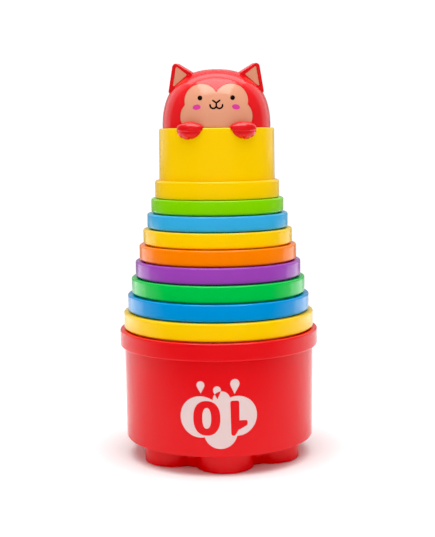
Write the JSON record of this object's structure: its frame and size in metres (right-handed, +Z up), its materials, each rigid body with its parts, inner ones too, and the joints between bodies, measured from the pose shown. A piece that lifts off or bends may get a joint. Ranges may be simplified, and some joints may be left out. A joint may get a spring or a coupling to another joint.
{
  "type": "stacking cup tower",
  "caption": "Nest of round collared stacking cups with flower feet, under a turned cup that carries a peeking animal head; every cup lifts out.",
  "frame": {"origin": "centre of the largest cup's foot, on the surface that it stands on", "axes": "+Z up along the cups' common axis, -Y to the front that the face looks to, +X to the right seen from the front"},
  "size_m": [0.1, 0.1, 0.1967],
  "materials": {
    "red": "moulded, smooth",
    "yellow": "moulded, smooth",
    "blue": "moulded, smooth",
    "green": "moulded, smooth",
    "purple": "moulded, smooth",
    "orange": "moulded, smooth",
    "sky": "moulded, smooth",
    "lime": "moulded, smooth",
    "peach": "moulded, smooth"
  },
  "bodies": {
    "cup_10": {"cup_10_red": "red"},
    "cup_9": {"cup_9_yellow": "yellow"},
    "cup_8": {"cup_8_blue": "blue"},
    "cup_7": {"cup_7_green": "green"},
    "cup_6": {"cup_6_purple": "purple"},
    "cup_5": {"cup_5_orange": "orange"},
    "cup_4": {"cup_4_yellow": "yellow"},
    "cup_3": {"cup_3_sky": "sky"},
    "cup_2": {"cup_2_lime": "lime"},
    "topper": {"cup_1_yellow": "yellow", "head_front": "red", "head_rear": "red", "face_plate": "peach", "left_ear_inlay": "peach", "right_ear_inlay": "peach", "left_paw": "red", "right_paw": "red"}
  },
  "joints": [
    {"name": "cup_9_lift", "type": "slide", "parent": "cup_10", "child": "cup_9", "axis": [0, 0, 1], "range_m": [0, 0.064]},
    {"name": "cup_8_lift", "type": "slide", "parent": "cup_9", "child": "cup_8", "axis": [0, 0, 1], "range_m": [0, 0.062]},
    {"name": "cup_7_lift", "type": "slide", "parent": "cup_8", "child": "cup_7", "axis": [0, 0, 1], "range_m": [0, 0.059]},
    {"name": "cup_6_lift", "type": "slide", "parent": "cup_7", "child": "cup_6", "axis": [0, 0, 1], "range_m": [0, 0.057]},
    {"name": "cup_5_lift", "type": "slide", "parent": "cup_6", "child": "cup_5", "axis": [0, 0, 1], "range_m": [0, 0.055]},
    {"name": "cup_4_lift", "type": "slide", "parent": "cup_5", "child": "cup_4", "axis": [0, 0, 1], "range_m": [0, 0.053]},
    {"name": "cup_3_lift", "type": "slide", "parent": "cup_4", "child": "cup_3", "axis": [0, 0, 1], "range_m": [0, 0.05]},
    {"name": "cup_2_lift", "type": "slide", "parent": "cup_3", "child": "cup_2", "axis": [0, 0, 1], "range_m": [0, 0.048]},
    {"name": "topper_lift", "type": "slide", "parent": "cup_2", "child": "topper", "axis": [0, 0, 1], "range_m": [0, 0.03]}
  ]
}
